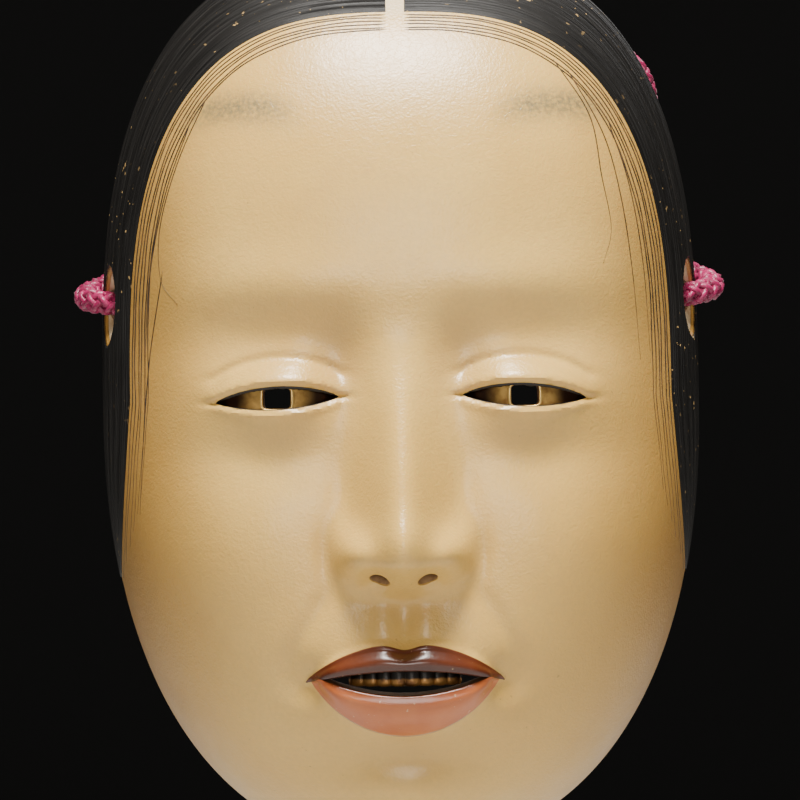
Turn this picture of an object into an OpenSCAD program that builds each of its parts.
// Carved wooden noh theatre mask of a calm young woman, with gofun, ink, lacquer and gilt coats
// and two silk cords. +Z is up, the mask looks along -Y, and X runs to the right of someone
// who looks at it. The origin is the middle of the flat back rim, level with the eyes.

/* [Overall size] */
// Half of the width across the back rim
half_w = 70; // [66:0.5:74]
// Half of the height, from eye level to crown and to chin
half_h = 106; // [100:0.5:112]
// How far the plain form stands in front of the rim, without the nose
dome_d = 56; // [50:0.5:60]

/* [Wood and coats] */
// Thickness of the gofun ground over the wood
coat_t = 0.8; // [0.6:0.1:1.2]
// Thickness of the wood at the rim, with the coat
rim_t = 8.5; // [7:0.5:11]
// Thickness of the wood behind the middle of the face
middle_t = 13; // [11:0.5:16]
// Thickness of the lacquer inside the hollow
lacquer_t = 0.5; // [0.3:0.1:0.8]
// How much of the face's relief is repeated inside the hollow
inner_relief = 0.35; // [0.2:0.05:0.45]

/* [Eyes and mouth] */
// Distance of each eye's middle from the centre line
eye_x = 28; // [26:0.5:31]
// Half of the length of an eye
eye_half = 14; // [12:0.5:15]
// Greatest height of the opening between the lids
eye_open = 5.4; // [4.5:0.1:6.5]
// Width of the square pupil hole
pupil_w = 6.2; // [5:0.1:7]
// Height of the line between the lips
mouth_z = -64; // [-67:0.5:-61]
// Half of the length of the open mouth
mouth_half = 19; // [17:0.5:22]
// Greatest height of the open mouth
mouth_open = 6.4; // [5:0.1:8]

/* [Hair] */
// Half of the width of the bare parting
parting_half = 2.1; // [1.5:0.1:3]

/* [Cords] */
// Diameter of each silk cord
cord_d = 6; // [5:0.5:7]
// Height of the cord holes above eye level
hole_z = 23; // [20:0.5:28]
// Diameter of the cord holes
hole_d = 7.4; // [7.2:0.1:8.5]
// Length of the straight runs of each hank
hank_run = 64; // [60:1:90]
// Radius of the innermost fold of each hank
hank_r = 18.2; // [18:0.1:19]

/* [Hidden] */

left = -1;
right = 1;
far = 150;
cells_x = 36;
cells_z = 48;
hollow = [rim_t, dome_d - middle_t, inner_relief];

lip_half = mouth_half + 3.5;
upper_lip_h = 9;
lower_lip_h = 12.5;
pupil_h = 0.84 * eye_open;
eyeball_r = 18;
eyeball_y = -37.6;
gilding_t = 0.4;
teeth_y = -36.5;
teeth_r = 20;
teeth_h = 8;

// The hairline above the eyes is a superellipse, and the hair ends at a point beside the cheek
hairline_w = 62.5;
hairline_h = 88.5;
hair_low = -44;

// Middle of each cord hole on the side wall, and how far its line turns towards the front
hole_x = 68.2;
hole_y = -13;
hole_turn = -25;
// The pale hollow round each hole: height, width and depth of the ball it is cut with
facet_size = [20.4, 15.6, 7.2];
facet_out = 1.4;
knot_x = 54;
knot_y = -6.2;
knot_r = 6.4;

// Each hank has two layers of two turns, which hang behind the rim
hank_pitch = 1.03 * cord_d;
hank_thick = 2 * hank_pitch;
hank_x = 30;
hank_y = 2.9;
hank_z = -7;
tie_h = 8;
tie_t = 1.2;

// Cord routes: stop knot, hole, over the rim, over the stand's peg and down to the hank
route_right = [
    [57.2, -8.3, 23], [61.4, -10.5, 23], [65.6, -11.6, 23.1], [69.8, -10.5, 23.6], [73, -7.4, 24.5],
    [74.1, -3.1, 25.6], [73, 1.2, 26.8], [69.8, 4.3, 28.2], [65.6, 5.6, 30.2], [62, 6, 33.2],
    [59.8, 6, 37.4], [59.2, 6, 42.2], [59.2, 6, 47.4], [59.3, 6, 52.8], [59.4, 6, 58.4],
    [59.5, 6, 64.2], [59.4, 6, 70], [58.4, 6, 75.1], [55.2, 6, 79.2], [50.6, 6, 81.7],
    [45.4, 6, 81.8], [40.6, 6, 79.8], [37.1, 6, 76], [35.5, 6, 71], [35.6, 6, 65.6],
    [37.1, 5.6, 60.2], [39.8, 4.4, 55], [42.7, 2.7, 50], [45.2, 1.1, 45], [47, 0.3, 40],
    [48, 0.6, 35], [48.2, 2.1, 30], [48.2, 4.1, 25]
];
tail_right = [
    [54.4, 12.2, -39], [54.2, 12.2, -44.4], [53.4, 11.9, -49.8], [52, 11.5, -55], [50, 11.2, -60]
];
route_left = [
    [-57.2, -8.3, 23], [-61.4, -10.5, 23], [-65.6, -11.6, 23.1], [-69.8, -10.5, 23.5], [-73, -7.4, 24.2],
    [-74.1, -3.1, 25.1], [-73, 1.2, 26.1], [-69.8, 4.3, 27.4], [-65.6, 5.6, 29.3], [-62.2, 6, 32.3],
    [-60.2, 6, 36.6], [-59.4, 6, 41.6], [-59.1, 6, 46.6], [-59, 6, 51.6], [-59, 6, 56.4],
    [-59, 6, 61], [-57.9, 6, 66.1], [-54.7, 6, 70.2], [-50.1, 6, 72.6], [-44.9, 6, 72.8],
    [-40.1, 6, 70.8], [-36.6, 6, 67], [-35.1, 6, 62], [-35.8, 5.7, 57], [-38, 4.7, 52],
    [-41.1, 3, 47], [-44.2, 1.2, 42], [-46.6, 0.4, 37], [-47.9, 1.2, 32], [-48.2, 3.2, 27]
];
tail_left = [
    [-54.4, 12.2, -39], [-54.2, 12.2, -44], [-53.2, 11.9, -48.8], [-51.6, 11.5, -53.4], [-49.4, 11.2, -57.8]
];

// ---- Plain form: a dome on a superellipse outline ----

function clamp01(v) = min(max(v, 0), 1);
function ease(from, to, v) = let (t = clamp01((v - from) / (to - from))) t * t * (3 - 2 * t);
function roundness(z) = z > 0 ? 2.8 : 2.3;
function reach(x, z) =
    let (n = roundness(z)) pow(pow(abs(x), n) + pow(abs(z), n), 1 / n);
function fullness(z) = 2.7 + 0.4 * ease(20, 70, z) + 1.3 * ease(-10, -80, z);
function dome(r, z, depth) = depth * sqrt(max(1 - pow(r, fullness(z)), 0));

// ---- Relief of the face, as height in front of the plain form ----

// A soft mound: cx and cz are its middle, sx and sz how far it reaches
function bump(x, z, cx, cz, sx, sz) = exp(-pow((x - cx) / sx, 2) - pow((z - cz) / sz, 2));
// The same mound on both sides of the face
function bumps(x, z, cx, cz, sx, sz) = bump(x, z, cx, cz, sx, sz) + bump(x, z, -cx, cz, sx, sz);

function nose_height(z) = 14.6 * pow(ease(22, -31, z), 1.25) * ease(-46.5, -36.5, z);
function nose_width(z) = 6.4 + 2.6 * ease(4, -34, z);
function nose(x, z) =
    nose_height(z) * exp(-pow(abs(x) / nose_width(z), 2.1)) // ridge
    + 3.4 * bump(x, z, 0, -33, 6.6, 6.4) // tip
    + 6.4 * bumps(x, z, 10.8, -35, 4.6, 5) // wings
    - 1.5 * bumps(x, z, 17, -35.5, 2.6, 6) // crease round the wings
    - 1.2 * bumps(x, z, 12.5, -22, 4, 8);
function eyes(x, z) =
    4.6 * bumps(x, z, eye_x + 0.5, 1, 15.5, 9.5) // eyeball under its lids
    - 2.6 * bumps(x, z, eye_x + 2, 13, 20, 9) // socket above
    - 3.4 * bumps(x, z, eye_x / 2, 5, 7, 12) // hollow beside the nose
    - bumps(x, z, eye_x + 1, -13, 18, 7);
function mouth(x, z) =
    7 * bump(x, z, 0, mouth_z + 1, 26, 18) // mound that the lips lie on
    + 2.2 * bump(x, z, 0, mouth_z + 5, 15, 3.6) // upper lip
    + 3.2 * bump(x, z, 0, mouth_z - 7, 14, 4) // lower lip
    - 1.2 * bump(x, z, 0, mouth_z + 14, 2.6, 5.5) // groove under the nose
    - 2.6 * bumps(x, z, 23, mouth_z, 4.5, 5) // corners
    - 2.6 * bump(x, z, 0, mouth_z - 17.5, 16, 5.2);
function jaw(x, z) =
    8 * bump(x, z, 0, -93, 20, 11) // chin
    + 4.6 * bumps(x, z, 38, -32, 19, 22); // cheeks
function brow(x, z) =
    2.4 * bump(x, z, 0, 48, 46, 26) // forehead
    + 1.8 * bumps(x, z, 27, 26, 20, 8)
    - 2.2 * bumps(x, z, 60, 16, 9, 26); // temples
function relief(x, z) = nose(x, z) + eyes(x, z) + mouth(x, z) + jaw(x, z) + brow(x, z);

// ---- Grid: a square of cells laid over the outline, close together over the face ----

function spread(t, c) = t * (1 - c) + c * t * t * t;
function plan(u, v) =
    let (
        a = spread(u, 0.3),
        b = spread(v, 0.3),
        x = a * sqrt(1 - b * b / 2),
        z = b * sqrt(1 - a * a / 2),
        r = min(sqrt(x * x + z * z), 1),
        q = max(reach(x, z), 1e-9)
    )
    [x / q * sin(90 * r), z / q * sin(90 * r)];
function form_point(p, inset, depth, gain) =
    let (x = p[0] * (half_w - inset), z = p[1] * (half_h - inset), r = reach(p[0], p[1]))
    [x, r > 0.9999 ? 0 : -dome(r, z, depth) - gain * relief(x, z) * ease(1, 0.88, r), z];
function grid_points(nx, nz, inset, depth, gain) = [
    for (j = [0 : nz]) for (i = [0 : nx])
        form_point(plan(2 * i / nx - 1, 2 * j / nz - 1), inset, depth, gain)
];

// ---- A closed skin between two such grids, the second with every step-th line of the first ----

function cell_faces(nx, nz, base, outward) = [
    for (j = [0 : nz - 1]) for (i = [0 : nx - 1])
        let (
            a = base + j * (nx + 1) + i,
            b = a + 1,
            c = a + nx + 2,
            d = a + nx + 1,
            rising = (i < nx / 2) == (j < nz / 2),
            halves = rising ? [[a, c, b], [a, d, c]] : [[a, d, b], [b, d, c]]
        )
        each (outward ? halves : [for (h = halves) [h[0], h[2], h[1]]])
];
function edge_loop(nx, nz, base) = concat(
    [for (i = [0 : nx - 1]) base + i],
    [for (j = [0 : nz - 1]) base + j * (nx + 1) + nx],
    [for (i = [0 : nx - 1]) base + nz * (nx + 1) + nx - i],
    [for (j = [0 : nz - 1]) base + (nz - j) * (nx + 1)]
);
function rim_faces(outer, inner, step) = [
    for (k = [0 : len(inner) - 1])
        let (
            in_a = inner[k],
            in_b = inner[(k + 1) % len(inner)],
            ring = [for (s = [0 : step]) outer[(k * step + s) % len(outer)]]
        )
        each concat([for (s = [0 : step - 1]) [ring[s], ring[s + 1], in_a]], [[ring[step], in_b, in_a]])
];
// front and back are each [inset from the outline, depth of the dome, share of the relief]
module skin(front, back, nx, nz, step) {
    base = (nx + 1) * (nz + 1);
    polyhedron(
        concat(
            grid_points(nx, nz, front[0], front[1], front[2]),
            grid_points(nx / step, nz / step, back[0], back[1], back[2])
        ),
        concat(
            cell_faces(nx, nz, 0, true),
            cell_faces(nx / step, nz / step, base, false),
            rim_faces(edge_loop(nx, nz, 0), edge_loop(nx / step, nz / step, base), step)
        )
    );
}

// ---- Outlines on the front view, drawn in X and Z, and prisms of them along Y ----

module prism(y_front, y_back) {
    translate([0, y_back, 0])
        rotate([90, 0, 0])
            linear_extrude(y_back - y_front)
                children();
}
module eye_outline() {
    upper = [for (i = [-8 : 8]) [i / 8 * eye_half, 0.56 * eye_open * pow(1 - pow(i / 8, 2), 0.75)]];
    lower = [for (i = [7 : -1 : -7]) [i / 8 * eye_half, -0.44 * eye_open * pow(1 - pow(i / 8, 2), 0.85)]];
    polygon(concat(upper, lower));
}
module mouth_outline() {
    upper = [for (i = [-8 : 8]) [i / 8 * mouth_half, mouth_z + 0.5 * mouth_open * (1 - pow(i / 8, 2))]];
    lower = [for (i = [7 : -1 : -7]) [i / 8 * mouth_half, mouth_z - 0.5 * mouth_open * (1 - pow(i / 8, 2))]];
    polygon(concat(upper, lower));
}
module upper_lip_outline() {
    border = [
        for (i = [-12 : 12]) let (t = i / 12)
        [t * lip_half, mouth_z + upper_lip_h * pow(1 - t * t, 0.8) - 1.6 * exp(-pow(t / 0.16, 2))]
    ];
    polygon(border);
}
module lower_lip_outline() {
    border = [
        for (i = [-12 : 12]) let (t = i / 12)
        [t * 0.86 * lip_half, mouth_z - lower_lip_h * pow(1 - t * t, 0.75)]
    ];
    polygon(border);
}
module bare_face_outline() {
    above = [
        for (i = [0 : 20]) let (a = 9 * i)
        [hairline_w * sign(cos(a)) * pow(abs(cos(a)), 2 / 2.8), hairline_h * pow(sin(a), 2 / 2.8)]
    ];
    polygon(concat(above, [[-hairline_w - 4, hair_low], [-far, hair_low], [-far, -far],
        [far, -far], [far, hair_low], [hairline_w + 4, hair_low]]));
    translate([-parting_half, 0])
        square([2 * parting_half, far]);
}

// ---- Cutters ----

module eyeball(side, r) {
    translate([side * (eye_x - 1), eyeball_y, 0])
        sphere(r, $fn = 48);
}
module eye_socket(side) {
    difference() {
        translate([side * eye_x, 0, 0])
            prism(-far, eyeball_y - 9)
                eye_outline();
        eyeball(side, eyeball_r - gilding_t);
    }
}
module pupil_hole(side) {
    translate([side * eye_x, 0, 0.06 * eye_open])
        prism(-far, 0)
            hull()
                for (x = [-1, 1], z = [-1, 1])
                    translate([x * (pupil_w / 2 - 1), z * (pupil_h / 2 - 1)])
                        circle(1, $fn = 16);
}
module nostril(side) {
    translate([side * 5.4, -66, -44.5])
        rotate([-48, 0, 0])
            translate([0, 0, -4])
                scale([1, 1.35, 1])
                    cylinder(h = 34, r = 2.1, $fn = 24);
}
module along_cord_hole(side) {
    translate([side * hole_x, hole_y, hole_z])
        rotate([0, 0, side * hole_turn + (side < 0 ? 180 : 0)])
            rotate([0, 90, 0])
                children();
}
module cord_hole(side) {
    along_cord_hole(side) {
        translate([0, 0, -20])
            cylinder(h = 40, r = hole_d / 2, $fn = 32);
        translate([0, 0, facet_out])
            scale(facet_size / 2)
                sphere(1, $fn = 32);
    }
}
module openings() {
    prism(-far, -10)
        mouth_outline();
    for (side = [left, right]) {
        pupil_hole(side);
        nostril(side);
        cord_hole(side);
    }
}
module teeth_bar(front_r) {
    translate([0, teeth_y, mouth_z - 1])
        intersection() {
            difference() {
                cylinder(h = teeth_h, r = front_r, $fn = 96);
                translate([0, 0, -1])
                    cylinder(h = teeth_h + 2, r = front_r - 3.4, $fn = 96);
            }
            translate([-13.5, -far, -1])
                cube([27, far - 5, teeth_h + 2]);
        }
}

// ---- Carved shell and its coats ----

module coat_blank() {
    skin([0, dome_d, 1], [coat_t, dome_d - coat_t, 1], cells_x, cells_z, 1);
}
module coat_cut() {
    difference() {
        coat_blank();
        openings();
        for (side = [left, right])
            eye_socket(side);
    }
}
module wood_shell() {
    color("burlywood")
        resize([2 * (half_w - coat_t), 0, 0])
            difference() {
                skin([coat_t, dome_d - coat_t, 1], hollow, cells_x, cells_z, 2);
                openings();
                for (side = [left, right])
                    eye_socket(side);
                teeth_bar(teeth_r);
            }
}
module back_lacquer() {
    inside = [rim_t + lacquer_t, hollow[1] - lacquer_t, inner_relief];
    color("saddlebrown")
        resize([2 * (half_w - rim_t), 0, 0])
            difference() {
                skin(hollow, inside, cells_x / 2, cells_z / 2, 1);
                openings();
            }
}
module face_coat() {
    color("wheat")
        resize([0, 0, 0])
            intersection() {
                difference() {
                    coat_cut();
                    prism(-far, 0)
                        upper_lip_outline();
                    prism(-far, 0)
                        lower_lip_outline();
                }
                prism(-far, far)
                    bare_face_outline();
            }
}
module hair_coat() {
    color([0.1, 0.09, 0.08])
        resize([0, 0, 0])
            difference() {
                coat_cut();
                prism(-far, far)
                    bare_face_outline();
            }
}
module upper_lip_coat() {
    color("brown")
        resize([0, 0, 0])
            intersection() {
                coat_cut();
                prism(-far, 0)
                    upper_lip_outline();
            }
}
module lower_lip_coat() {
    color("indianred")
        resize([0, 0, 0])
            intersection() {
                coat_cut();
                prism(-far, 0)
                    lower_lip_outline();
            }
}
module upper_teeth() {
    color("darkgoldenrod")
        difference() {
            teeth_bar(teeth_r);
            for (i = [-3 : 3])
                translate([0, teeth_y, mouth_z - 1])
                    rotate([0, 0, i * 12])
                        translate([0, -teeth_r, -1])
                            cylinder(h = 5, r = 0.5, $fn = 16);
        }
}
module eye_gilding(side) {
    color("goldenrod")
        difference() {
            intersection() {
                eyeball(side, eyeball_r);
                translate([side * eye_x, 0, 0])
                    prism(-far, eyeball_y - 9)
                        eye_outline();
            }
            eyeball(side, eyeball_r - gilding_t);
            pupil_hole(side);
        }
}

// ---- Cords: a tube swept along hand-laid points, folded hanks, ties and knots ----

function unit(v) = v / norm(v);
function tangents(p) = [
    for (i = [0 : len(p) - 1]) unit(p[min(i + 1, len(p) - 1)] - p[max(i - 1, 0)])
];
function carried(t, n, i = 0, done = []) =
    i == len(t) ? done : let (m = unit(n - (n * t[i]) * t[i])) carried(t, m, i + 1, concat(done, [m]));
module tube(p, r, sides = 10) {
    t = tangents(p);
    n = carried(t, [0, 1, 0.4]);
    last = len(p) - 1;
    polyhedron(
        [
            for (i = [0 : last]) for (k = [0 : sides - 1])
                p[i] + r * (cos(360 * k / sides) * n[i] + sin(360 * k / sides) * cross(t[i], n[i]))
        ],
        concat(
            [[for (k = [0 : sides - 1]) k]],
            [
                for (i = [0 : last - 1]) for (k = [0 : sides - 1])
                    let (a = i * sides + k, b = i * sides + (k + 1) % sides)
                    each [[a, b + sides, b], [a, a + sides, b + sides]]
            ],
            [[for (k = [sides - 1 : -1 : 0]) last * sides + k]]
        )
    );
}
module racetrack(r) {
    for (z = [-1, 1])
        translate([0, z * hank_run / 2])
            circle(r, $fn = 64);
    square([2 * r, hank_run], center = true);
}
module cord(route, tail) {
    color([0.55, 0.12, 0.28]) {
        tube(route, cord_d / 2);
        tube(tail, cord_d / 2);
    }
}
module stop_knot(side) {
    color([0.55, 0.12, 0.28])
        translate([side * knot_x, knot_y, hole_z])
            sphere(knot_r, $fn = 32);
}
module hank(side) {
    color([0.5, 0.1, 0.25])
        translate([side * hank_x, hank_y, hank_z])
            prism(0, hank_thick)
                difference() {
                    racetrack(hank_r + 1.5 * hank_pitch);
                    racetrack(hank_r - 0.5 * hank_pitch);
                }
}
module hank_tie(side) {
    wide = 2 * hank_r + 3 * hank_pitch;
    color([0.35, 0.07, 0.18])
        translate([side * hank_x, hank_y + hank_thick / 2, hank_z - tie_h / 2])
            linear_extrude(tie_h)
                difference() {
                    square([wide + 2 * tie_t, hank_thick + 2 * tie_t], center = true);
                    square([wide, hank_thick], center = true);
                }
}
module end_knot(tail) {
    color([0.55, 0.12, 0.28])
        translate(tail[len(tail) - 1] - [0, 0, knot_r - 1])
            sphere(knot_r - 0.6, $fn = 32);
}

wood_shell();
face_coat();
hair_coat();
back_lacquer();
upper_lip_coat();
lower_lip_coat();
upper_teeth();
eye_gilding(left);  // eye_gilding_left
eye_gilding(right);  // eye_gilding_right
cord(route_left, tail_left);  // cord_left
cord(route_right, tail_right);  // cord_right
stop_knot(left);  // cord_stop_knot_left
stop_knot(right);  // cord_stop_knot_right
hank(left);  // cord_hank_left
hank(right);  // cord_hank_right
hank_tie(left);  // hank_tie_left
hank_tie(right);  // hank_tie_right
end_knot(tail_left);  // cord_end_knot_left
end_knot(tail_right);  // cord_end_knot_right
